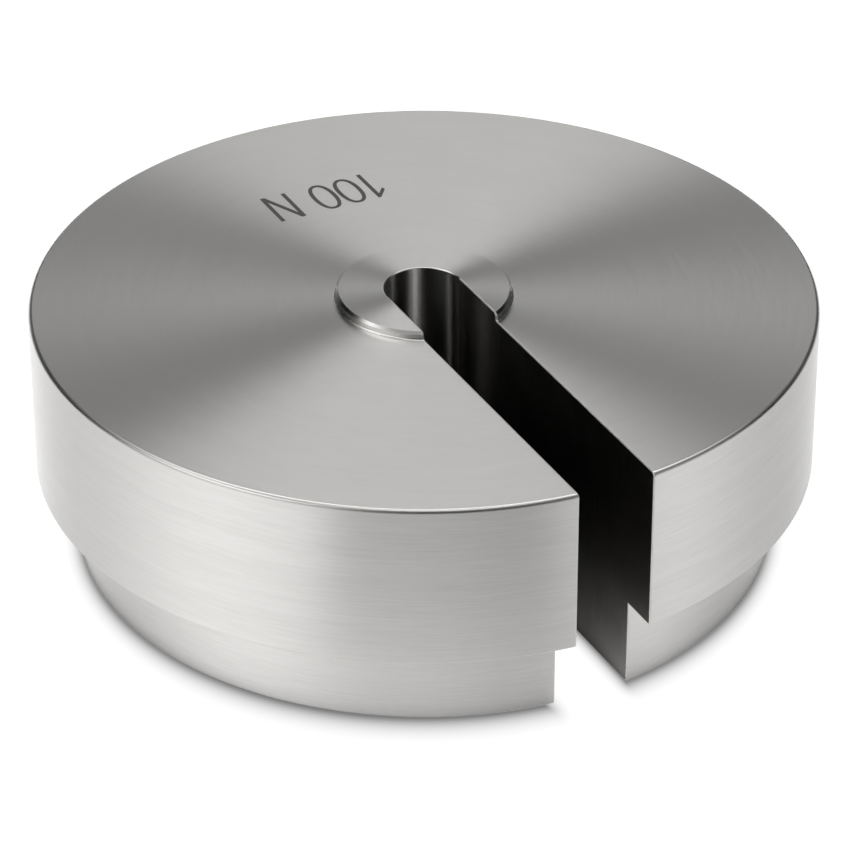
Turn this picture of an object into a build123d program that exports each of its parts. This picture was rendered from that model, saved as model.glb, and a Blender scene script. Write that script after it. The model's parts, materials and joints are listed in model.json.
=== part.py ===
from build123d import *
import os

# Slotted calibration weight, 100 N, turned from one stainless steel bar.
#
# Frame: +Z is the axis of the turned body, z = 0 is the face it stands on, the
# origin is the centre of that face, and the slot opens towards -Y. Millimetres.

# Driving dimensions
RIM_DIAMETER = 178.2          # wide upper disc
DISC_HEIGHT = 39.0            # from the underside of the rim to the seat face
FOOT_DIAMETER = 159.9         # narrower lower disc, room for the fingers under the rim
FOOT_HEIGHT = 20.8
BOSS_DIAMETER = 39.8          # centring boss on the seat face
BOSS_HEIGHT = 1.9
SLOT_WIDTH = 17.9             # passes the stem of a weight hanger

# Fit of the boss in the recess of the weight stacked on it
RECESS_RADIAL_CLEARANCE = 0.25
RECESS_HEADROOM = 0.6         # the recess is deeper than the boss is tall

# Edge breaks and corner radii
RIM_TOP_RADIUS = 1.0
RIM_UNDERSIDE_CHAMFER = 0.4
FOOT_EDGE_CHAMFER = 0.5
BOSS_TOP_CHAMFER = 0.6
BOSS_ROOT_RADIUS = 0.5
RECESS_LEAD_IN = 0.3          # lead-in beyond the root radius of the boss
SLOT_EDGE_RADIUS = 0.3

# Worked out from the driving dimensions
RIM_RADIUS = RIM_DIAMETER / 2
FOOT_RADIUS = FOOT_DIAMETER / 2
BOSS_RADIUS = BOSS_DIAMETER / 2
RECESS_RADIUS = BOSS_RADIUS + RECESS_RADIAL_CLEARANCE
RECESS_DEPTH = BOSS_HEIGHT + RECESS_HEADROOM
RECESS_MOUTH_CHAMFER = BOSS_ROOT_RADIUS + RECESS_LEAD_IN
SEAT_Z = FOOT_HEIGHT + DISC_HEIGHT
BOSS_TOP_Z = SEAT_Z + BOSS_HEIGHT
SLOT_RADIUS = SLOT_WIDTH / 2

SAME_PLACE = 1e-4             # two places this close are the same


def half_section():
    """Half section of the turned body: x is the radius, y the height."""
    recess_mouth = (RECESS_RADIUS, 0)
    foot_edge = (FOOT_RADIUS, 0)
    rim_underside = (RIM_RADIUS, FOOT_HEIGHT)
    rim_top = (RIM_RADIUS, SEAT_Z)
    boss_root = (BOSS_RADIUS, SEAT_Z)
    boss_top = (BOSS_RADIUS, BOSS_TOP_Z)
    outline = Polyline(
        (0, RECESS_DEPTH), (RECESS_RADIUS, RECESS_DEPTH), recess_mouth, foot_edge,
        (FOOT_RADIUS, FOOT_HEIGHT), rim_underside, rim_top, boss_root, boss_top,
        (0, BOSS_TOP_Z), close=True,
    )
    section = make_face(outline)
    for corner, radius in [
        (rim_top, RIM_TOP_RADIUS),
        (boss_root, BOSS_ROOT_RADIUS),
    ]:
        section = fillet(nearest_vertex(section, corner), radius)
    for corner, length in [
        (recess_mouth, RECESS_MOUTH_CHAMFER),
        (foot_edge, FOOT_EDGE_CHAMFER),
        (rim_underside, RIM_UNDERSIDE_CHAMFER),
        (boss_top, BOSS_TOP_CHAMFER),
    ]:
        section = chamfer(nearest_vertex(section, corner), length)
    return section


def nearest_vertex(section, corner):
    """The vertex of a flat section that lies at a corner of its outline."""
    return section.vertices().sort_by_distance(Vector(*corner))[0]


def turned_body():
    """The body as it leaves the lathe, before the slot is milled."""
    return revolve(Plane.XZ * half_section(), Axis.Z)


def slot_cutter():
    """Path of the slot mill: from beyond the rim to the axis, through the whole height."""
    run_out = RIM_RADIUS + SLOT_WIDTH
    plan = Circle(SLOT_RADIUS) + Pos(0, -run_out / 2) * Rectangle(SLOT_WIDTH, run_out)
    return Pos(0, 0, -SLOT_WIDTH) * extrude(plan, BOSS_TOP_Z + 2 * SLOT_WIDTH)


def is_slot_edge(edge):
    """True for an edge where a wall of the slot meets a turned surface."""
    for share in (0.0, 0.25, 0.5, 0.75, 1.0):
        point = edge @ share
        on_flat_wall = point.Y < SAME_PLACE and abs(abs(point.X) - SLOT_RADIUS) < SAME_PLACE
        on_round_end = abs(Vector(point.X, point.Y).length - SLOT_RADIUS) < SAME_PLACE
        if not (on_flat_wall or on_round_end):
            return False
    is_vertical = abs((edge % 0.5).Z) > 1 - SAME_PLACE
    joins_flat_wall_to_round_end = is_vertical and abs((edge @ 0.5).Y) < SAME_PLACE
    return not joins_flat_wall_to_round_end


def calibration_weight():
    """The finished weight: turned, slotted and deburred along the slot."""
    body = turned_body() - slot_cutter()
    return fillet(body.edges().filter_by(is_slot_edge), SLOT_EDGE_RADIUS)


weight = calibration_weight()
weight.label = "slotted_weight"
os.makedirs("parts", exist_ok=True)
export_step(weight, "parts/slotted_weight.step")
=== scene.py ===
"""Looks of a slotted calibration weight, 100 N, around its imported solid.

Everything is in metres in the frame of the solid: +Z is the axis of the turned body, z = 0 is the face that
it stands on, and the slot opens towards -Y.
"""

import json
import math
from functools import partial

import bmesh
import bpy
from bpy.props import (
    FloatProperty,
    FloatVectorProperty,
    IntProperty,
    PointerProperty,
    StringProperty,
)
from mathutils import Matrix, Vector


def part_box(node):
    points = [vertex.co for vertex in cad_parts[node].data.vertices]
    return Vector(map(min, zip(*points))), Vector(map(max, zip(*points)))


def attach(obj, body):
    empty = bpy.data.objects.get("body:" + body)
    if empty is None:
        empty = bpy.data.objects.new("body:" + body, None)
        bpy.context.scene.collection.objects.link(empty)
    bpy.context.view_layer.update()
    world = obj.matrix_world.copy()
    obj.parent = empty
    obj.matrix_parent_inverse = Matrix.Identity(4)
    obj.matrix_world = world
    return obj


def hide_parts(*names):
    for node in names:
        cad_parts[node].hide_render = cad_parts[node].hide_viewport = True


bl_info = {
    "name": "Slotted calibration weight",
    "version": (1, 0, 0),
    "blender": (4, 5, 0),
    "location": "3D View > Sidebar > Weight",
    "description": "Builds a slotted, stackable calibration weight of turned steel and its studio",
    "category": "Add Mesh",
}

NODE = "slotted_weight"
BODY = "root"
MM = 0.001

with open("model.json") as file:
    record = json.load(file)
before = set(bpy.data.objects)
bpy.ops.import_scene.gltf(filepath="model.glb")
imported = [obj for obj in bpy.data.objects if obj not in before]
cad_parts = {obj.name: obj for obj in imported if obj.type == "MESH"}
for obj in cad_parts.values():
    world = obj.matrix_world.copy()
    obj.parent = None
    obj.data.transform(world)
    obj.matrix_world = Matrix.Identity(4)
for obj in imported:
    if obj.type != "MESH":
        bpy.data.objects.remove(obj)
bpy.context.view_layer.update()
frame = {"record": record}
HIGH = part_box(NODE)[1]
MOUNTS = {mount["name"]: mount for mount in frame["record"]["mounts"]}


# ---------------------------------------------------------------- colours and nodes


def linear(hex_colour):
    """An sRGB hex colour, such as #c8c6c2, as linear red, green and blue."""
    shares = [int(hex_colour[i : i + 2], 16) / 255 for i in (1, 3, 5)]
    return tuple(s / 12.92 if s <= 0.04045 else ((s + 0.055) / 1.055) ** 2.4 for s in shares)


def add(tree, kind, inputs=None, **settings):
    """Adds a node: settings by attribute name, inputs by index or name, as values or sockets to link."""
    node = tree.nodes.new(kind)
    for name, value in settings.items():
        setattr(node, name, value)
    for key, value in (inputs or {}).items():
        if isinstance(value, bpy.types.NodeSocket):
            tree.links.new(value, node.inputs[key])
        else:
            node.inputs[key].default_value = value
    return node


def math_node(tree, operation, a, b=0.0):
    """A maths node's result. Arithmetic takes so many of them that each function calls this calc."""
    return add(tree, "ShaderNodeMath", {0: a, 1: b}, operation=operation).outputs[0]


def new_material(name, metallic=1.0):
    """A material, its node tree and its shader."""
    material = bpy.data.materials.new(name)
    material.use_nodes = True
    shader = material.node_tree.nodes["Principled BSDF"]
    shader.inputs["Metallic"].default_value = metallic
    return material, material.node_tree, shader


# ---------------------------------------------------------------- what a user would change


class WeightSizes(bpy.types.PropertyGroup):
    """Sizes of the turned and slotted body."""

    rim_radius: FloatProperty(
        name="Rim radius", description="Outside radius of the wide upper disc",
        default=HIGH.y, unit="LENGTH")
    foot_radius: FloatProperty(
        name="Foot radius", description="Outside radius of the narrower lower disc",
        default=79.95 * MM, unit="LENGTH")
    foot_height: FloatProperty(
        name="Foot height", description="From the standing face to the underside of the rim",
        default=20.8 * MM, unit="LENGTH")
    seat_height: FloatProperty(
        name="Seat height", description="From the standing face to the seat of the next weight",
        default=MOUNTS["seat_face"]["pos_m"][2], unit="LENGTH")
    boss_radius: FloatProperty(
        name="Boss radius", description="Radius of the centring boss",
        default=MOUNTS["boss"]["dims"]["r_mm"] * MM, unit="LENGTH")
    boss_top: FloatProperty(
        name="Boss top", description="Height of the top of the centring boss",
        default=HIGH.z, unit="LENGTH")
    recess_radius: FloatProperty(
        name="Recess radius", description="Radius of the recess that takes the boss of the weight below",
        default=MOUNTS["recess"]["dims"]["r_mm"] * MM, unit="LENGTH")
    recess_depth: FloatProperty(
        name="Recess depth", description="Depth of the recess underneath",
        default=2.5 * MM, unit="LENGTH")
    slot_half_width: FloatProperty(
        name="Slot half width", description="Half the width of the slot, and the radius of its end",
        default=8.95 * MM, unit="LENGTH")
    rim_round: FloatProperty(
        name="Rim round", description="Radius of the top edge of the rim",
        default=1.0 * MM, unit="LENGTH")
    rim_underside_chamfer: FloatProperty(
        name="Rim underside chamfer", description="Edge break under the rim",
        default=0.4 * MM, unit="LENGTH")
    foot_chamfer: FloatProperty(
        name="Foot chamfer", description="Edge break round the standing face",
        default=0.5 * MM, unit="LENGTH")
    boss_chamfer: FloatProperty(
        name="Boss chamfer", description="Edge break round the top of the boss",
        default=0.6 * MM, unit="LENGTH")
    boss_root_radius: FloatProperty(
        name="Boss root radius", description="Radius in the corner between the boss and the seat",
        default=0.5 * MM, unit="LENGTH")
    recess_chamfer: FloatProperty(
        name="Recess chamfer", description="Lead-in at the mouth of the recess",
        default=0.8 * MM, unit="LENGTH")
    slot_edge_radius: FloatProperty(
        name="Slot edge radius", description="Deburred edge along the slot",
        default=0.3 * MM, unit="LENGTH")
    segments: IntProperty(
        name="Segments", description="Steps round the turned body", default=512, min=32)
    arc_segments: IntProperty(
        name="Arc segments", description="Steps in each quarter round", default=6, min=2)


class MarkSizes(bpy.types.PropertyGroup):
    """Sizes of the load mark on the seat face."""

    text: StringProperty(
        name="Load mark", description="Nominal load; digits 0 and 1 and the unit N", default="100 N")
    height: FloatProperty(
        name="Letter height", description="Height of the letters", default=12.05 * MM, unit="LENGTH")
    radius: FloatProperty(
        name="Mark radius", description="From the axis to the middle of the letters",
        default=51.0 * MM, unit="LENGTH")
    sideways: FloatProperty(
        name="Mark sideways", description="From the middle plane to the middle of the mark",
        default=0.23 * MM, unit="LENGTH")
    stroke: FloatProperty(
        name="Stroke", description="Width of the lines of the letters", default=1.0 * MM, unit="LENGTH")
    film: FloatProperty(
        name="Film", description="How far the oxide film stands off the steel",
        default=0.02 * MM, unit="LENGTH")


class Finishes(bpy.types.PropertyGroup):
    """Colours of the finishes."""

    turned: FloatVectorProperty(
        name="Turned steel", description="Reflected colour of the turned steel",
        subtype="COLOR", size=3, min=0, max=1, default=linear("#d1d0ce"))
    milled: FloatVectorProperty(
        name="Milled steel", description="Reflected colour of the slot walls",
        subtype="COLOR", size=3, min=0, max=1, default=linear("#85827f"))
    mark: FloatVectorProperty(
        name="Laser mark", description="Colour of the oxide film of the load mark",
        subtype="COLOR", size=3, min=0, max=1, default=linear("#4c4a48"))
    floor: FloatVectorProperty(
        name="Floor", description="Colour of the studio floor",
        subtype="COLOR", size=3, min=0, max=1, default=linear("#f4f4f4"))


# ---------------------------------------------------------------- materials


# A noise texture hardly leaves this range
NOISE_RANGE = {"From Min": 0.3, "From Max": 0.7}


def round_the_axis(tree, shader, strength):
    """Tool marks that run round the axis: each spreads reflections across it, towards and from the axis."""
    place = add(tree, "ShaderNodeTexCoord").outputs["Object"]
    along = add(tree, "ShaderNodeVectorMath", {0: (0, 0, 1), 1: place}, operation="CROSS_PRODUCT").outputs[0]
    tree.links.new(along, shader.inputs["Tangent"])
    shader.inputs["Anisotropic"].default_value = strength
    shader.inputs["Anisotropic Rotation"].default_value = 0.25


def turned_place(tree, spacing, turns):
    """Place on a turned body, in steps of spacing across the tool marks and in turns along them."""
    calc = partial(math_node, tree)
    place = add(tree, "ShaderNodeTexCoord").outputs["Object"]
    x, y, z = add(tree, "ShaderNodeSeparateXYZ", {0: place}).outputs
    flat = add(tree, "ShaderNodeCombineXYZ", {0: x, 1: y}).outputs[0]
    radius = add(tree, "ShaderNodeVectorMath", {0: flat}, operation="LENGTH").outputs["Value"]
    # Counted from the back, so that the seam falls in the slot
    angle = calc("MULTIPLY", calc("ARCTAN2", x, y), turns / (2 * math.pi))
    return add(tree, "ShaderNodeCombineXYZ", {
        0: calc("DIVIDE", radius, spacing), 1: calc("DIVIDE", z, spacing), 2: angle}).outputs[0]


def colour_between(tree, shader, tone, first, last):
    """Gives the shader a colour that goes from the first to the last as tone goes from 0 to 1."""
    mix = add(tree, "ShaderNodeMix", {"Factor": tone, "A": (*first, 1), "B": (*last, 1)}, data_type="RGBA")
    tree.links.new(mix.outputs["Result"], shader.inputs["Base Color"])


def turned_steel(finishes, name="turned_stainless_steel", share=1.0, least_rough=0.285, most_rough=0.315):
    """Stainless steel, fine turned: bright, with concentric tool marks that fan the light out across them.

    A bore has the same marks, but smoother, so its roughness is less. Its share of the colour is less too:
    painted shade for the end deep in the slot.
    """
    material, tree, shader = new_material(name)
    calc = partial(math_node, tree)
    round_the_axis(tree, shader, 0.95)

    # The feed of the tool is about 0.1 mm a turn. That is too fine to show, so the marks drawn are those that
    # stand out, every 0.4 mm or so and about 10 mm long.
    fine = add(tree, "ShaderNodeTexNoise", {
        "Vector": turned_place(tree, 0.4 * MM, 50), "Scale": 1.0, "Detail": 2.0, "Roughness": 0.6}).outputs[0]
    # Slow change of tone from ring to ring as the tool wears and cools
    slow = add(tree, "ShaderNodeTexNoise", {
        "Vector": turned_place(tree, 3.0 * MM, 5), "Scale": 1.0, "Detail": 2.0}).outputs[0]
    # The faces that are square to the axis were cut last and finest
    normal = add(tree, "ShaderNodeNewGeometry").outputs["True Normal"]
    facing_up = add(tree, "ShaderNodeSeparateXYZ", {0: normal}).outputs["Z"]
    depth = add(tree, "ShaderNodeMapRange", {
        "Value": calc("ABSOLUTE", facing_up), "To Min": 1.0, "To Max": 0.4}).outputs[0]

    tone = add(tree, "ShaderNodeMapRange", {
        "Value": calc("ADD", calc("MULTIPLY", fine, 0.7), calc("MULTIPLY", slow, 0.3)),
        **NOISE_RANGE, "To Min": -0.5, "To Max": 0.5}).outputs[0]
    steel = Vector(finishes.turned) * share
    colour_between(tree, shader, calc("ADD", calc("MULTIPLY", tone, depth), 0.5), steel * 0.92, steel * 1.05)
    roughness = add(tree, "ShaderNodeMapRange", {
        "Value": fine, **NOISE_RANGE, "To Min": least_rough, "To Max": most_rough}).outputs[0]
    tree.links.new(roughness, shader.inputs["Roughness"])
    bump = add(tree, "ShaderNodeBump", {
        "Strength": 1.0, "Distance": 0.02 * MM, "Height": calc("MULTIPLY", fine, depth)}).outputs[0]
    tree.links.new(bump, shader.inputs["Normal"])
    return material


def smoothed_steel(finishes):
    """Stainless steel, smoothed with emery cloth in the lathe: edges and corners that reflect sharply."""
    material, tree, shader = new_material("smoothed_stainless_steel")
    calc = partial(math_node, tree)
    round_the_axis(tree, shader, 0.5)
    # Far from the axis the steel runs faster under the cloth, which leaves it duller. Its colour is darker
    # there too: painted shade that dims the highlight on the rim edge
    place = add(tree, "ShaderNodeTexCoord").outputs["Object"]
    outer = add(tree, "ShaderNodeMapRange", {
        "Value": add(tree, "ShaderNodeVectorMath", {0: place}, operation="LENGTH").outputs["Value"],
        "From Min": 66 * MM, "From Max": 100 * MM}).outputs[0]
    colour_between(tree, shader, outer, Vector(finishes.turned), Vector(finishes.turned) * 0.88)
    # The cloth's fine marks, drawn 0.2 mm apart
    fine = add(tree, "ShaderNodeTexNoise", {
        "Vector": turned_place(tree, 0.2 * MM, 2), "Scale": 1.0, "Detail": 2.0}).outputs[0]
    roughness = add(tree, "ShaderNodeMapRange", {
        "Value": fine, **NOISE_RANGE, "To Min": 0.21, "To Max": 0.225}).outputs[0]
    tree.links.new(calc("ADD", roughness, calc("MULTIPLY", outer, 0.085)), shader.inputs["Roughness"])
    return material


def deburred_steel(finishes):
    """Stainless steel, deburred with a file: narrow edges, duller than the turned faces, that catch light."""
    material, tree, shader = new_material("deburred_stainless_steel")
    shader.inputs["Base Color"].default_value = (*finishes.turned, 1)
    place = add(tree, "ShaderNodeTexCoord").outputs["Object"]
    # The file bites unevenly, every 3 mm or so
    bite = add(tree, "ShaderNodeTexNoise", {
        "Vector": place, "Scale": 1 / (3.03 * MM), "Detail": 2.0}).outputs[0]
    roughness = add(tree, "ShaderNodeMapRange", {
        "Value": bite, **NOISE_RANGE, "To Min": 0.42, "To Max": 0.6}).outputs[0]
    tree.links.new(roughness, shader.inputs["Roughness"])
    return material


def milled_steel(finishes):
    """Stainless steel, end milled: darker than the turned faces, with upright cutter marks, a little hazy."""
    material, tree, shader = new_material("milled_stainless_steel", metallic=0.98)
    calc = partial(math_node, tree)
    place = add(tree, "ShaderNodeTexCoord").outputs["Object"]
    # Cutter marks stand upright, about 0.8 mm apart along the slot and 17 mm long
    marks = add(tree, "ShaderNodeMapping", {
        "Vector": place, "Scale": (1 / (0.8 * MM), 1 / (0.8 * MM), 60)}, vector_type="POINT").outputs[0]
    marks = add(tree, "ShaderNodeTexNoise", {"Vector": marks, "Scale": 1.0, "Detail": 3.0}).outputs[0]
    # Clouds where the cutter dwelt, about 10 mm across
    clouds = add(tree, "ShaderNodeTexNoise", {
        "Vector": place, "Scale": 1 / (10 * MM), "Detail": 3.0}).outputs[0]
    tone = add(tree, "ShaderNodeMapRange", {
        "Value": calc("ADD", calc("MULTIPLY", marks, 0.5), calc("MULTIPLY", clouds, 0.5)),
        "From Min": 0.35, "From Max": 0.65}).outputs[0]
    steel = Vector(finishes.milled)
    colour_between(tree, shader, tone, steel * 0.8, steel * 1.1)
    roughness = add(tree, "ShaderNodeMapRange", {"Value": tone, "To Min": 0.17, "To Max": 0.23}).outputs[0]
    tree.links.new(roughness, shader.inputs["Roughness"])
    bump = add(tree, "ShaderNodeBump", {"Strength": 0.1, "Distance": 0.02 * MM, "Height": marks}).outputs[0]
    tree.links.new(bump, shader.inputs["Normal"])
    return material


def laser_mark(finishes):
    """Oxide film of a laser mark on steel: dark grey and matt, slightly uneven."""
    material, tree, shader = new_material("laser_oxide_film", metallic=0.0)
    place = add(tree, "ShaderNodeTexCoord").outputs["Object"]
    # The beam's hatch lines, 0.1 mm apart, come out as an unevenness, drawn 0.25 mm across
    hatch = add(tree, "ShaderNodeTexNoise", {
        "Vector": place, "Scale": 1 / (0.25 * MM), "Detail": 2.0}).outputs[0]
    film = Vector(finishes.mark)
    colour_between(tree, shader, hatch, film * 0.85, film * 1.15)
    roughness = add(tree, "ShaderNodeMapRange", {"Value": hatch, "To Min": 0.45, "To Max": 0.6}).outputs[0]
    tree.links.new(roughness, shader.inputs["Roughness"])
    return material


# ---------------------------------------------------------------- the turned and slotted body


def quarter_round(centre, radius, start, turn, segments):
    """Points of an arc in the half section, from the angle start through turn, in degrees."""
    steps = [math.radians(start + turn * i / segments) for i in range(segments + 1)]
    return [(centre[0] + radius * math.cos(a), centre[1] + radius * math.sin(a)) for a in steps]


TURNED, SMOOTHED, MILLED, DEBURRED, BORED = range(5)
STEELS = {
    "Turned steel": TURNED, "Smoothed steel": SMOOTHED, "Milled steel": MILLED,
    "Deburred steel": DEBURRED, "Bored steel": BORED,
}
SHARP_ANGLE = math.radians(30)
MERGE_DISTANCE = 0.001 * MM


def half_section(sizes):
    """Closed half section, from the foot of the slot's round end upwards and round.

    The round end is bored before the slot is milled, so it has ring marks too. Each entry is a radius, a
    height, and the finish of the side that starts there.
    """
    s = sizes
    half, edge, root, n = s.slot_half_width, s.slot_edge_radius, s.boss_root_radius, s.arc_segments
    top_edge = quarter_round((half + edge, s.boss_top - edge), edge, 180, -90, n)
    boss_root = quarter_round((s.boss_radius + root, s.seat_height + root), root, 180, 90, n)
    rim_edge = quarter_round(
        (s.rim_radius - s.rim_round, s.seat_height - s.rim_round), s.rim_round, 90, -90, 2 * n)
    floor_edge = quarter_round((half + edge, s.recess_depth + edge), edge, 270, -90, n)
    runs = [
        (BORED, [(half, s.recess_depth + edge)]),
        (SMOOTHED, top_edge[:-1]),
        (TURNED, top_edge[-1:]),
        (SMOOTHED, [(s.boss_radius - s.boss_chamfer, s.boss_top)]),
        (SMOOTHED, [(s.boss_radius, s.boss_top - s.boss_chamfer)]),
        (SMOOTHED, boss_root[:-1]),
        (TURNED, boss_root[-1:]),
        (SMOOTHED, rim_edge[:-1]),
        (TURNED, rim_edge[-1:]),
        (DEBURRED, [(s.rim_radius, s.foot_height + s.rim_underside_chamfer)]),
        (TURNED, [(s.rim_radius - s.rim_underside_chamfer, s.foot_height), (s.foot_radius, s.foot_height)]),
        (TURNED, [(s.foot_radius, s.foot_chamfer), (s.foot_radius - s.foot_chamfer, 0)]),
        (TURNED, [(s.recess_radius + s.recess_chamfer, 0), (s.recess_radius, s.recess_chamfer)]),
        (TURNED, [(s.recess_radius, s.recess_depth)]),
        (SMOOTHED, floor_edge),
    ]
    return [(radius, height, finish) for finish, points in runs for radius, height in points]


def outward_mitres(points, arc_segments):
    """For each point of a closed outline, the vector out of it that keeps both its sides one unit away."""
    mitres = []
    ring = points[:-1]
    for i in range(len(points)):
        before, here, after = (Vector(ring[(i + k) % len(ring)]) for k in (-1, 0, 1))
        into, out = (here - before).normalized(), (after - here).normalized()
        left, right = Vector((-into.y, into.x)), Vector((-out.y, out.x))
        mitres.append((left + right) / (1 + left.dot(right)))
    # Where the slot's edge rounds run out into the boss top and the recess floor
    mitres[arc_segments + 1] = Vector((0, 1))
    mitres[-1 - arc_segments] = Vector((0, -1))
    return mitres


def section_object(sizes):
    """The half section as a line mesh in the XZ plane, with its mitres as the attribute outward."""
    section = half_section(sizes)
    points = [(r, z) for r, z, _ in section]
    mesh = bpy.data.meshes.new("half_section")
    mesh.from_pydata([(r, 0, z) for r, z in points], [(i, i + 1) for i in range(len(points) - 1)], [])
    finish = mesh.attributes.new("finish", "INT", "POINT")
    finish.data.foreach_set("value", [kind for _, _, kind in section])
    outward = mesh.attributes.new("outward", "FLOAT_VECTOR", "POINT")
    for item, mitre in zip(outward.data, outward_mitres(points, sizes.arc_segments)):
        item.vector = (mitre.x, 0, mitre.y)
    section = bpy.data.objects.new("half_section", mesh)
    bpy.context.scene.collection.objects.link(section)
    return section


def turned_body_tree():
    """Node tree that turns a half section round the axis, leaving a slot whose edges are rounded.

    Each row of the section starts at the slot and ends at it, so the turned faces stop where the rounding
    begins. The rounding goes from the direction out of the section to the direction across the slot.
    """
    tree = bpy.data.node_groups.new("Turned and slotted body", "GeometryNodeTree")
    face = tree.interface
    face.new_socket("Section", in_out="INPUT", socket_type="NodeSocketGeometry")
    for kind, names in [
        ("Float", ("Slot half width", "Edge radius")), ("Int", ("Segments", "Arc segments")),
        ("Material", STEELS),
    ]:
        for name in names:
            face.new_socket(name, in_out="INPUT", socket_type="NodeSocket" + kind)
    face.new_socket("Body", in_out="OUTPUT", socket_type="NodeSocketGeometry")
    given = add(tree, "NodeGroupInput").outputs
    half, edge = given["Slot half width"], given["Edge radius"]
    arc_steps = given["Arc segments"]
    calc = partial(math_node, tree)

    def vector(x, y, z):
        return add(tree, "ShaderNodeCombineXYZ", {0: x, 1: y, 2: z}).outputs[0]

    def split(value):
        return add(tree, "ShaderNodeSeparateXYZ", {0: value}).outputs

    def along(operation, a, b):
        return add(tree, "ShaderNodeVectorMath", {0: a, 1: b}, operation=operation).outputs[0]

    def scaled(value, factor):
        return add(tree, "ShaderNodeVectorMath", {0: value, "Scale": factor}, operation="SCALE").outputs[0]

    def stored(name, kind):
        read = add(tree, "GeometryNodeInputNamedAttribute", {"Name": name}, data_type=kind)
        return read.outputs["Attribute"]

    # The angle from the slot's middle at which each point of the section leaves the rounding
    place = split(add(tree, "GeometryNodeInputPosition").outputs[0])
    outward = split(stored("outward", "FLOAT_VECTOR"))
    lean = calc("DIVIDE", calc("MULTIPLY", edge, outward[0]), place[0])
    reach = calc("DIVIDE", calc("ADD", half, edge), calc("SUBTRACT", 1.0, lean))
    # The slot's round end, up to and with its edge rounds
    in_end = calc("LESS_THAN", place[0], calc("ADD", half, calc("MULTIPLY", edge, 1.01)))
    start = calc("ARCSINE", calc("MINIMUM", calc("DIVIDE", reach, place[0]), 1.0))
    start = calc("MAXIMUM", start, calc("MULTIPLY", in_end, math.pi / 2))
    section = add(tree, "GeometryNodeStoreNamedAttribute", {
        "Geometry": given["Section"], "Name": "start", "Value": start,
    }, data_type="FLOAT", domain="POINT").outputs[0]
    rows = add(tree, "GeometryNodeAttributeDomainSize", {0: section}, component="MESH")
    rows = rows.outputs["Point Count"]

    def sampled(name, kind, row):
        return add(tree, "GeometryNodeSampleIndex", {
            "Geometry": section, "Value": stored(name, kind), "Index": row,
        }, data_type=kind, domain="POINT").outputs[0]

    def sheet(columns, row_count, first_row):
        """A grid with one row for each section point, and each vertex's section row and column."""
        grid = add(tree, "GeometryNodeMeshGrid", {
            "Size X": 1.0, "Size Y": 1.0, "Vertices X": columns, "Vertices Y": row_count}).outputs["Mesh"]
        index = add(tree, "GeometryNodeInputIndex").outputs[0]
        row = calc("ADD", calc("MODULO", index, row_count), first_row)
        column = calc("FLOOR", calc("DIVIDE", index, row_count))
        return grid, row, calc("DIVIDE", column, calc("SUBTRACT", columns, 1.0))

    def moved(geometry, position):
        return add(tree, "GeometryNodeSetPosition", {"Geometry": geometry, "Position": position}).outputs[0]

    # Turned faces
    grid, row, share = sheet(given["Segments"], rows, 0.0)
    point = split(sampled("position", "FLOAT_VECTOR", row))
    begin = sampled("start", "FLOAT", row)
    sweep = calc("SUBTRACT", 2 * math.pi, calc("MULTIPLY", begin, 2.0))
    angle = calc("ADD", begin, calc("MULTIPLY", sweep, share))
    turned = moved(grid, vector(
        calc("MULTIPLY", point[0], calc("SINE", angle)),
        calc("MULTIPLY", point[0], calc("MULTIPLY", calc("COSINE", angle), -1.0)),
        point[2]))

    # Rounded edge at one side of the slot
    edge_rows = calc("SUBTRACT", calc("SUBTRACT", rows, 1.0), calc("MULTIPLY", arc_steps, 2.0))
    strip, row, share = sheet(calc("ADD", arc_steps, 1.0), edge_rows, calc("ADD", arc_steps, 1.0))
    point = split(sampled("position", "FLOAT_VECTOR", row))
    mitre = split(sampled("outward", "FLOAT_VECTOR", row))
    begin = sampled("start", "FLOAT", row)
    across, back = calc("SINE", begin), calc("MULTIPLY", calc("COSINE", begin), -1.0)
    surface = vector(calc("MULTIPLY", point[0], across), calc("MULTIPLY", point[0], back), point[2])
    out = vector(calc("MULTIPLY", mitre[0], across), calc("MULTIPLY", mitre[0], back), mitre[2])
    centre = along("SUBTRACT", surface, scaled(out, edge))
    to_slot = (-1.0, 0.0, 0.0)
    unit = add(tree, "ShaderNodeVectorMath", {0: out}, operation="NORMALIZE").outputs[0]
    facing = add(tree, "ShaderNodeVectorMath", {0: unit, 1: to_slot}, operation="DOT_PRODUCT")
    corner = calc("ARCCOSINE", facing.outputs["Value"])
    from_out = calc("SINE", calc("MULTIPLY", corner, calc("SUBTRACT", 1.0, share)))
    from_slot = calc("SINE", calc("MULTIPLY", corner, share))
    blend = along("ADD", scaled(out, from_out), scaled(to_slot, from_slot))
    offset = scaled(blend, calc("DIVIDE", edge, calc("SINE", corner)))
    strip = moved(strip, along("ADD", centre, offset))

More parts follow.
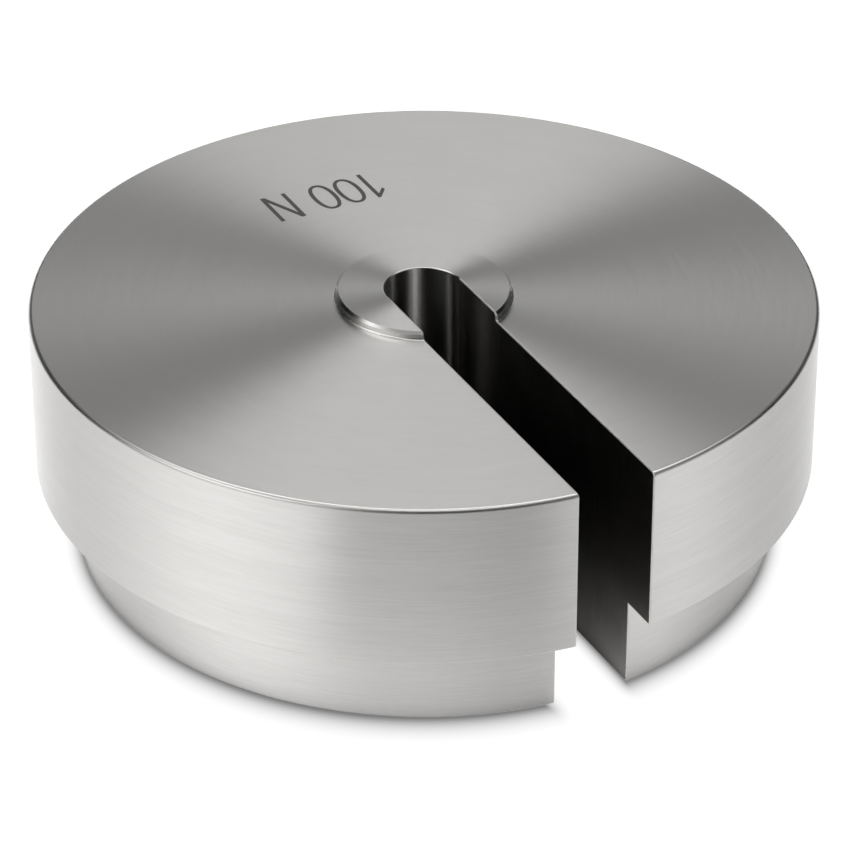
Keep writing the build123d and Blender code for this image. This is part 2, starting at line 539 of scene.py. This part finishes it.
    # Flat wall at the same side, filled from the inner edge of the rounding
    index = add(tree, "GeometryNodeInputIndex").outputs[0]
    first, last = arc_steps, calc("SUBTRACT", calc("SUBTRACT", rows, 1.0), arc_steps)
    outside = calc("MAXIMUM", calc("LESS_THAN", index, calc("ADD", first, 0.5)),
                   calc("GREATER_THAN", index, calc("ADD", last, 0.5)))
    begin = stored("start", "FLOAT")
    depth = calc("SUBTRACT", place[0], calc("MULTIPLY", edge, outward[0]))
    outline = add(tree, "GeometryNodeDeleteGeometry", {0: section, "Selection": outside}).outputs[0]
    outline = moved(outline, vector(
        calc("MULTIPLY", calc("MULTIPLY", depth, calc("COSINE", begin)), -1.0),
        calc("SUBTRACT", place[2], calc("MULTIPLY", edge, outward[2])), 0.0))
    curve = add(tree, "GeometryNodeMeshToCurve", {0: outline}).outputs[0]
    curve = add(tree, "GeometryNodeSetSplineCyclic", {0: curve, "Cyclic": True}).outputs[0]
    wall = add(tree, "GeometryNodeFillCurve", {0: curve}, mode="NGONS").outputs[0]
    flat = split(add(tree, "GeometryNodeInputPosition").outputs[0])
    wall = moved(wall, vector(half, flat[0], flat[1]))
    wall = add(tree, "GeometryNodeFlipFaces", {0: wall}).outputs[0]
    turned = add(tree, "GeometryNodeFlipFaces", {0: turned}).outputs[0]

    def finished(geometry, value):
        return add(tree, "GeometryNodeStoreNamedAttribute", {
            "Geometry": geometry, "Name": "finish", "Value": value,
        }, data_type="INT", domain="FACE").outputs[0]

    # The grid's faces run along the section first, so a face's row is also the point where its side starts
    side_row = calc("MODULO", add(tree, "GeometryNodeInputIndex").outputs[0], calc("SUBTRACT", rows, 1.0))
    turned = finished(turned, sampled("finish", "INT", side_row))
    side = add(tree, "GeometryNodeJoinGeometry")
    for part in (finished(wall, MILLED), finished(strip, DEBURRED)):
        tree.links.new(part, side.inputs[0])
    mirrored = add(tree, "GeometryNodeTransform", {"Geometry": side.outputs[0], "Scale": (-1.0, 1.0, 1.0)})
    mirrored = add(tree, "GeometryNodeFlipFaces", {0: mirrored.outputs[0]}).outputs[0]
    joined = add(tree, "GeometryNodeJoinGeometry")
    for part in (mirrored, side.outputs[0], turned):
        tree.links.new(part, joined.inputs[0])
    merged = add(tree, "GeometryNodeMergeByDistance", {
        "Geometry": joined.outputs[0], "Distance": MERGE_DISTANCE}).outputs[0]

    # Faces meet softly except at the chamfers and corners
    bend = add(tree, "GeometryNodeInputMeshEdgeAngle").outputs["Unsigned Angle"]
    sharp = calc("GREATER_THAN", bend, SHARP_ANGLE)
    smooth = add(tree, "GeometryNodeSetShadeSmooth", {
        "Geometry": merged, "Shade Smooth": True}, domain="FACE").outputs[0]
    smooth = add(tree, "GeometryNodeSetShadeSmooth", {
        "Geometry": smooth, "Selection": sharp, "Shade Smooth": False}, domain="EDGE").outputs[0]

    body = add(tree, "GeometryNodeRealizeInstances", {0: smooth}).outputs[0]
    # Each steel covers the finishes from its own number up, and the next ones then cover theirs
    finish = stored("finish", "INT")
    for steel, number in STEELS.items():
        body = add(tree, "GeometryNodeSetMaterial", {
            "Geometry": body, "Selection": calc("GREATER_THAN", finish, number - 0.5),
            "Material": given[steel]}).outputs[0]
    add(tree, "NodeGroupOutput", {0: body})
    return tree


def baked(source, name):
    """The evaluated object as a plain mesh object of its own; the source goes."""
    evaluated = source.evaluated_get(bpy.context.evaluated_depsgraph_get())
    mesh = bpy.data.meshes.new_from_object(evaluated)
    mesh.name = name
    # The section's own slot is empty
    mesh.materials.pop(index=0)
    piece = bpy.data.objects.new(name, mesh)
    bpy.context.scene.collection.objects.link(piece)
    bpy.data.objects.remove(source)
    return piece


def set_tree_inputs(modifier, values):
    """Sets a node modifier's inputs, each by its socket's identifier."""
    for item in modifier.node_group.interface.items_tree:
        if item.item_type == "SOCKET" and item.name in values:
            modifier[item.identifier] = values[item.name]


class WEIGHT_OT_turned_body(bpy.types.Operator):
    """Add the turned and slotted body in place of the plain solid"""

    bl_idname = "weight.add_turned_body"
    bl_label = "Turned Body"
    bl_options = {"REGISTER", "UNDO"}

    def execute(self, context):
        sizes, finishes = context.scene.weight_sizes, context.scene.weight_finishes
        section = section_object(sizes)
        turning = section.modifiers.new("Turning", "NODES")
        turning.node_group = turned_body_tree()
        set_tree_inputs(turning, {
            "Slot half width": sizes.slot_half_width,
            "Edge radius": sizes.slot_edge_radius,
            "Segments": sizes.segments,
            "Arc segments": sizes.arc_segments,
            "Turned steel": turned_steel(finishes),
            "Smoothed steel": smoothed_steel(finishes),
            "Milled steel": milled_steel(finishes),
            "Deburred steel": deburred_steel(finishes),
            # The bore's smaller share of the colour is painted shade at the deep end of the slot
            "Bored steel": turned_steel(
                finishes, "bored_stainless_steel", share=0.65, least_rough=0.2, most_rough=0.23),
        })
        flats_first = section.modifiers.new("Flats first", "WEIGHTED_NORMAL")
        flats_first.keep_sharp = True
        body = baked(section, "turned_body")
        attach(body, BODY)
        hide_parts(NODE)
        return {"FINISHED"}


# ---------------------------------------------------------------- load mark


def glyph_one(height, stroke):
    """Outline of a plain 1, an upright with a short flag, and blank to its right as in type."""
    width, drop, blank = 0.265 * height, 0.25 * height, 0.097 * height
    left = width - stroke
    outline = [
        (left, 0), (width, 0), (width, height), (left + 0.25 * stroke, height), (0, height - drop),
        (0.35 * stroke, height - drop - stroke), (left, height - 1.75 * stroke),
    ]
    return width + blank, outline, None


def glyph_zero(height, stroke, steps=48):
    """Outlines of a plain 0: an upright oval ring, a little squarer than an ellipse."""
    width, square = 0.49 * height, 0.88

    def oval(half_width, half_height):
        ring = []
        for i in range(steps):
            c, s = math.cos(2 * math.pi * i / steps), math.sin(2 * math.pi * i / steps)
            ring.append((width / 2 + half_width * math.copysign(abs(c) ** square, c),
                         height / 2 + half_height * math.copysign(abs(s) ** square, s)))
        return ring

    return width, oval(width / 2, height / 2), oval(width / 2 - stroke, height / 2 - 0.9 * stroke)


def glyph_n(height, stroke):
    """Outline of a plain N."""
    width, bar = 0.53 * height, 1.15 * stroke
    meet = height * stroke / (width - bar)
    outline = [
        (0, 0), (stroke, 0), (stroke, height - meet), (width - bar, 0), (width, 0), (width, height),
        (width - stroke, height), (width - stroke, meet), (bar, height), (0, height),
    ]
    return width, outline, None


GLYPHS = {"0": glyph_zero, "1": glyph_one, "N": glyph_n}
# In heights of a letter
LETTER_GAP = 0.045
WORD_GAP = 0.39
# How far the film goes on into the steel, so that no gap shows under it
FILM_ROOT = 0.05 * MM


def add_plate(mesh, outer, inner, low, high):
    """Adds a closed flat plate between two heights, with a hole if there is an inner outline."""
    count = len(outer)
    rings = [[[mesh.verts.new((x, y, z)) for x, y in outline] for z in (low, high)]
             for outline in (outer, inner) if outline]
    for inside, (bottom, top) in enumerate(rings):
        for i in range(count):
            j = (i + 1) % count
            wall = (bottom[i], bottom[j], top[j], top[i])
            mesh.faces.new(wall[::-1] if inside else wall)
    if inner is None:
        mesh.faces.new(rings[0][0][::-1])
        mesh.faces.new(rings[0][1])
        return
    for i in range(count):
        j = (i + 1) % count
        (outer_low, outer_high), (inner_low, inner_high) = rings
        mesh.faces.new((outer_high[i], outer_high[j], inner_high[j], inner_high[i]))
        mesh.faces.new((inner_low[i], inner_low[j], outer_low[j], outer_low[i]))


class WEIGHT_OT_load_mark(bpy.types.Operator):
    """Add the load mark, plain letters in a thin oxide film on the seat face"""

    bl_idname = "weight.add_load_mark"
    bl_label = "Load Mark"
    bl_options = {"REGISTER", "UNDO"}

    def execute(self, context):
        sizes, mark = context.scene.weight_sizes, context.scene.weight_mark
        letters, end = [], 0.0
        for letter in mark.text:
            if letter == " ":
                end += (WORD_GAP - LETTER_GAP) * mark.height
                continue
            if letter not in GLYPHS:
                raise ValueError(f"the load mark has no letter {letter!r}")
            width, outer, inner = GLYPHS[letter](mark.height, mark.stroke)
            letters.append((end, outer, inner))
            end += width + LETTER_GAP * mark.height
        end -= LETTER_GAP * mark.height
        middle = end / 2 + mark.sideways
        # The letters are read from behind the weight, with their heads towards the boss
        mesh = bmesh.new()
        head = mark.radius + mark.height / 2
        for start, *outlines in letters:
            outer, inner = (
                outline and [(middle - start - x, head - y) for x, y in outline] for outline in outlines)
            add_plate(mesh, outer, inner, sizes.seat_height - FILM_ROOT, sizes.seat_height + mark.film)
        data = bpy.data.meshes.new("load_mark")
        mesh.to_mesh(data)
        mesh.free()
        data.materials.append(laser_mark(context.scene.weight_finishes))
        letters = bpy.data.objects.new("load_mark", data)
        context.scene.collection.objects.link(letters)
        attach(letters, BODY)
        return {"FINISHED"}


# ---------------------------------------------------------------- studio

CAMERA_AZIMUTH = -27.198
CAMERA_ELEVATION = 32.090
CAMERA_ROLL = -0.115
CAMERA_DISTANCE = 0.99111
CAMERA_FOCAL_PIXELS = 4312.2
FRAME_PIXELS = 849
SENSOR_MM = 36.0
AIM_SIDEWAYS = 0.06 * MM
AIM_HEIGHT = 25.24 * MM


def add_camera(context):
    """The camera, aimed from the side at which the slot opens."""
    azimuth, elevation = math.radians(CAMERA_AZIMUTH), math.radians(CAMERA_ELEVATION)
    back = Vector((math.sin(azimuth) * math.cos(elevation), -math.cos(azimuth) * math.cos(elevation),
                   math.sin(elevation)))
    right = Vector((math.cos(azimuth), math.sin(azimuth), 0))
    up = back.cross(right)
    aim = right * AIM_SIDEWAYS + Vector((0, 0, AIM_HEIGHT))
    turn = Matrix((right, up, back)).transposed() @ Matrix.Rotation(math.radians(CAMERA_ROLL), 3, "Z")
    data = bpy.data.cameras.new("camera")
    data.sensor_width = SENSOR_MM
    data.lens = CAMERA_FOCAL_PIXELS * SENSOR_MM / FRAME_PIXELS
    data.clip_start, data.clip_end = 0.01, 20
    camera = bpy.data.objects.new("camera", data)
    camera.matrix_world = Matrix.Translation(aim + back * CAMERA_DISTANCE) @ turn.to_4x4()
    context.scene.collection.objects.link(camera)
    context.scene.camera = camera


# Soft panels round the weight, in degrees: where each stands from the camera, how high, half its width and
# half its height, and its strength
PANELS = {
    "left": (-57, 33, 40, 24, 0.5),
    "left, low": (-53, 6, 20, 16, 0.45),
    "left, bright": (-57, 35, 33, 11, 1.5),
    "left, bright, inner": (-66, 33, 26, 9, 1.0),
    "right": (45, 41, 50, 12, 0.18),
    "right, low": (68, 17, 30, 14, 0.45),
    "high behind": (180, 63, 80, 13, 2.7),
    "overhead": (0, 74, 75, 10, 2.1),
    "top": (0, 90, 180, 9, 1.0),
    "behind": (178, 26, 15, 6, 0.95),
    "behind left": (-160, 13, 26, 13, 0.2),
    "behind right": (145, 20, 20, 20, 0.08),
}
# How steeply a panel ends at its sides, and at its top and bottom
SIDE_FALL = 6
HEIGHT_FALL = 3
# The light table under the weight: its plain glow, and where it is brighter, half as wide and by how much
TABLE_GLOW = 0.83
TABLE_PANELS = {
    "left, wide": (-80, 60, 0.35),
    "left": (-60, 33, 0.42),
    "right, wide": (82, 30, 0.25),
    "right": (76, 18, 0.25),
    "behind": (180, 30, 1.1),
    "behind left": (-155, 20, 0.3),
    "front": (0, 30, 0.25),
}
TABLE_FALL = 2
# Of the table's light, how much comes through it and how much it throws back
TABLE_SHARE = 0.75
TABLE_SHADE = 0.25
FLOOR_HALF = 6.0
# The glow of the table as the camera sees it, and the contact shadow painted on it along the foot: how deep
# it is, and how far it reaches, both to the sides and to the front
FLOOR_EXPOSURE = 1.18
SHADE_DEPTH = (0.73, 0.8)
SHADE_REACH = (1.7 * MM, 4.1 * MM)
SHADE_FALL = 1.2
# How many times shorter the painted shade is in the slot, from the half at +X and from the one at -X, and
# how far before its corner the second ends
SHADE_IN_SLOT = (2.0, 1.8)
SHADE_STOP = 2.2 * MM
# Shade painted on the table where only the steel sees it: how much weaker the contact shade is at the
# front and how soon that ends to the sides, how far light gets into the slot under the shade painted there,
# and the darker patch painted in front, with its direction in degrees from the camera, the cosines between
# which it comes in, where it starts and is full, and how deep it is
SHADE_RELIEF = 0.5
RELIEF_FALL = 4.0
SLOT_FALL = 15 * MM
FRONT_AZIMUTH = 4
FRONT_SIDES = (0.86, 0.96)
FRONT_START = (105 * MM, 180 * MM)
FRONT_DEPTH = 0.4


def radius_of(tree, place):
    """Distance from the axis of a place on the table."""
    return add(tree, "ShaderNodeVectorMath", {0: place}, operation="LENGTH").outputs["Value"]


def towards(tree, place, azimuth):
    """Cosine between a place on the table and a direction, in degrees from the camera."""
    turn = math.radians(CAMERA_AZIMUTH + azimuth)
    along = add(tree, "ShaderNodeVectorMath", {
        0: place, 1: (math.sin(turn), -math.cos(turn), 0)}, operation="DOT_PRODUCT").outputs["Value"]
    return math_node(tree, "DIVIDE", along, radius_of(tree, place))


def painted_contact_shade(tree, sizes):
    """A contact shadow painted on the table: darker where the foot would keep the light from spreading.

    The light comes mostly from the left and the right, so the shade reaches furthest to the front and back.
    """
    calc = partial(math_node, tree)
    place = add(tree, "ShaderNodeTexCoord").outputs["Object"]
    x, y, _ = add(tree, "ShaderNodeSeparateXYZ", {0: place}).outputs
    beyond_foot = calc("MAXIMUM", calc("SUBTRACT", radius_of(tree, place), sizes.foot_radius), 0.0)

    def distance(into_slot, shorter):
        """Distance from one half of the foot, round its corner and into the slot."""
        at_slot = calc("MULTIPLY", calc("LESS_THAN", y, 0.0), shorter)
        aside = calc("MULTIPLY", calc("MAXIMUM", into_slot, 0.0), at_slot)
        both = add(tree, "ShaderNodeCombineXYZ", {0: aside, 1: beyond_foot}).outputs[0]
        return add(tree, "ShaderNodeVectorMath", {0: both}, operation="LENGTH").outputs["Value"]

    # The light comes in past the half at -X, so the painted shade there ends before its corner
    half = sizes.slot_half_width
    away = calc("MINIMUM",
                distance(calc("SUBTRACT", half, x), SHADE_IN_SLOT[0]),
                distance(calc("ADD", x, half + SHADE_STOP), SHADE_IN_SLOT[1]))
    front = calc("POWER", towards(tree, place, 0), 2.0)

    def from_side_to_front(values):
        return add(tree, "ShaderNodeMapRange", {
            "Value": front, "To Min": values[0], "To Max": values[1]}).outputs[0]

    fade = calc("POWER", calc("DIVIDE", away, from_side_to_front(SHADE_REACH)), SHADE_FALL)
    fade = calc("EXPONENT", calc("MULTIPLY", fade, -1.0))
    return calc("SUBTRACT", 1.0, calc("MULTIPLY", fade, from_side_to_front(SHADE_DEPTH)))


def painted_shade_for_steel(tree, sizes, shade):
    """Shade painted on the table where only the steel sees it, from place to place.

    The painted contact shade is weaker in it at the front. Shade painted in the slot deepens inwards, and a
    darker patch is painted some way in front.
    """
    calc = partial(math_node, tree)
    place = add(tree, "ShaderNodeTexCoord").outputs["Object"]
    y = add(tree, "ShaderNodeSeparateXYZ", {0: place}).outputs["Y"]
    radius = radius_of(tree, place)

    weaker = calc("MULTIPLY", calc("POWER", towards(tree, place, 0), RELIEF_FALL), SHADE_RELIEF)
    contact = calc("MULTIPLY", calc("SUBTRACT", 1.0, shade), calc("SUBTRACT", 1.0, weaker))
    # Painted shade in the slot, deeper further in
    in_slot = calc("LESS_THAN", radius, sizes.foot_radius)
    depth = calc("MULTIPLY", calc("ADD", y, sizes.foot_radius), in_slot)
    slot = calc("EXPONENT", calc("DIVIDE", depth, -SLOT_FALL))

    def comes_in(value, start, full):
        return add(tree, "ShaderNodeMapRange", {
            "Value": value, "From Min": start, "From Max": full}, interpolation_type="SMOOTHSTEP").outputs[0]

    # A darker patch painted on the table some way in front
    front = calc("MULTIPLY", comes_in(towards(tree, place, FRONT_AZIMUTH), *FRONT_SIDES),
                 comes_in(radius, *FRONT_START))
    front = calc("SUBTRACT", 1.0, calc("MULTIPLY", front, FRONT_DEPTH))
    return calc("MULTIPLY", calc("MULTIPLY", calc("SUBTRACT", 1.0, contact), slot), front)


def add_floor(context, sizes, finishes):
    """A white light table, large enough for every view.

    The camera sees it overexposed. The steel sees the light below through it.
    """
    mesh = bpy.data.meshes.new("floor")
    corners = [(x * FLOOR_HALF, y * FLOOR_HALF, 0) for x, y in ((-1, -1), (1, -1), (1, 1), (-1, 1))]
    mesh.from_pydata(corners, [], [(0, 1, 2, 3)])
    material = bpy.data.materials.new("white_light_table")
    material.use_nodes = True
    tree = material.node_tree
    tree.nodes.clear()
    shade = painted_contact_shade(tree, sizes)
    painted_shade_seen = painted_shade_for_steel(tree, sizes, shade)

    def shaded(colour, by):
        return add(tree, "ShaderNodeVectorMath", {0: colour, "Scale": by}, operation="SCALE").outputs[0]

    # What the camera sees: the even white glow, with the painted contact shadow
    white = add(tree, "ShaderNodeEmission", {
        "Color": shaded(tuple(finishes.floor), shade), "Strength": FLOOR_EXPOSURE})
    # What the steel sees: the table's light through it and back from it, with the painted shade
    matt = add(tree, "ShaderNodeBsdfDiffuse", {"Color": shaded((TABLE_SHADE,) * 3, painted_shade_seen)})
    glass = add(tree, "ShaderNodeBsdfTransparent", {"Color": shaded((TABLE_SHARE,) * 3, painted_shade_seen)})
    table = add(tree, "ShaderNodeAddShader", {0: matt.outputs[0], 1: glass.outputs[0]})
    camera_ray = add(tree, "ShaderNodeLightPath").outputs["Is Camera Ray"]
    both = add(tree, "ShaderNodeMixShader", {0: camera_ray, 1: table.outputs[0], 2: white.outputs[0]})
    add(tree, "ShaderNodeOutputMaterial", {0: both.outputs[0]})
    mesh.materials.append(material)
    floor = bpy.data.objects.new("floor", mesh)
    context.scene.collection.objects.link(floor)


def add_lights(context):
    """The studio's light, all of it from soft panels far off and from the table."""
    world = bpy.data.worlds.new("soft_panels")
    world.use_nodes = True
    tree = world.node_tree
    tree.nodes.clear()
    calc = partial(math_node, tree)

    def fall(value, middle, half, power, wrap=False):
        away = calc("SUBTRACT", value, middle)
        if wrap:
            away = add(tree, "ShaderNodeMath", {0: away, 1: 180.0, 2: -180.0}, operation="WRAP").outputs[0]
        return calc("POWER", calc("ABSOLUTE", calc("DIVIDE", away, half)), power)

    way = add(tree, "ShaderNodeTexCoord").outputs["Generated"]
    x, y, z = add(tree, "ShaderNodeSeparateXYZ", {0: way}).outputs
    azimuth = calc("DEGREES", calc("ARCTAN2", x, calc("MULTIPLY", y, -1.0)))
    height = calc("DEGREES", calc("ARCSINE", z))
    above = 0.0
    for panel_azimuth, panel_height, half_width, half_height, strength in PANELS.values():
        aside = fall(azimuth, panel_azimuth + CAMERA_AZIMUTH, half_width, SIDE_FALL, wrap=True)
        up = fall(height, panel_height, half_height, HEIGHT_FALL)
        light = calc("EXPONENT", calc("MULTIPLY", calc("ADD", aside, up), -1.0))
        above = calc("ADD", above, calc("MULTIPLY", light, strength))
    below = TABLE_GLOW
    for panel_azimuth, half_width, strength in TABLE_PANELS.values():
        aside = fall(azimuth, panel_azimuth + CAMERA_AZIMUTH, half_width, TABLE_FALL, wrap=True)
        light = calc("EXPONENT", calc("MULTIPLY", aside, -1.0))
        below = calc("ADD", below, calc("MULTIPLY", light, strength))
    is_up = calc("GREATER_THAN", z, 0.0)
    below = calc("MULTIPLY", below, calc("SUBTRACT", 1.0, is_up))
    strength = calc("ADD", calc("MULTIPLY", above, is_up), below)
    lit = add(tree, "ShaderNodeBackground", {"Color": (1, 1, 1, 1), "Strength": strength})
    plain = add(tree, "ShaderNodeBackground", {"Color": (1, 1, 1, 1), "Strength": 1.0})
    camera_ray = add(tree, "ShaderNodeLightPath").outputs["Is Camera Ray"]
    both = add(tree, "ShaderNodeMixShader", {0: camera_ray, 1: lit.outputs[0], 2: plain.outputs[0]})
    add(tree, "ShaderNodeOutputWorld", {0: both.outputs[0]})
    context.scene.world = world


class WEIGHT_OT_stage(bpy.types.Operator):
    """Add the floor, the lights and the camera"""

    bl_idname = "weight.add_stage"
    bl_label = "Studio Stage"
    bl_options = {"REGISTER", "UNDO"}

    def execute(self, context):
        add_floor(context, context.scene.weight_sizes, context.scene.weight_finishes)
        add_lights(context)
        context.scene.view_settings.view_transform = "Standard"
        add_camera(context)
        return {"FINISHED"}


class WEIGHT_PT_panel(bpy.types.Panel):
    """Lists the pieces of the weight and its sizes"""

    bl_idname = "WEIGHT_PT_panel"
    bl_label = "Slotted Weight"
    bl_space_type = "VIEW_3D"
    bl_region_type = "UI"
    bl_category = "Weight"

    def draw(self, context):
        layout = self.layout
        for operator in OPERATORS:
            layout.operator(operator.bl_idname)
        for group in (context.scene.weight_sizes, context.scene.weight_mark, context.scene.weight_finishes):
            box = layout.box()
            for name in group.__annotations__:
                box.prop(group, name)


OPERATORS = (WEIGHT_OT_turned_body, WEIGHT_OT_load_mark, WEIGHT_OT_stage)
CLASSES = (WeightSizes, MarkSizes, Finishes, *OPERATORS, WEIGHT_PT_panel)


def register():
    for cls in CLASSES:
        bpy.utils.register_class(cls)
    bpy.types.Scene.weight_sizes = PointerProperty(type=WeightSizes)
    bpy.types.Scene.weight_mark = PointerProperty(type=MarkSizes)
    bpy.types.Scene.weight_finishes = PointerProperty(type=Finishes)


def unregister():
    del bpy.types.Scene.weight_finishes
    del bpy.types.Scene.weight_mark
    del bpy.types.Scene.weight_sizes
    for cls in reversed(CLASSES):
        bpy.utils.unregister_class(cls)


def main():
    """Builds the whole model and its studio."""
    register()
    bpy.ops.weight.add_turned_body()
    bpy.ops.weight.add_load_mark()
    bpy.ops.weight.add_stage()


if __name__ == "__main__":
    main()
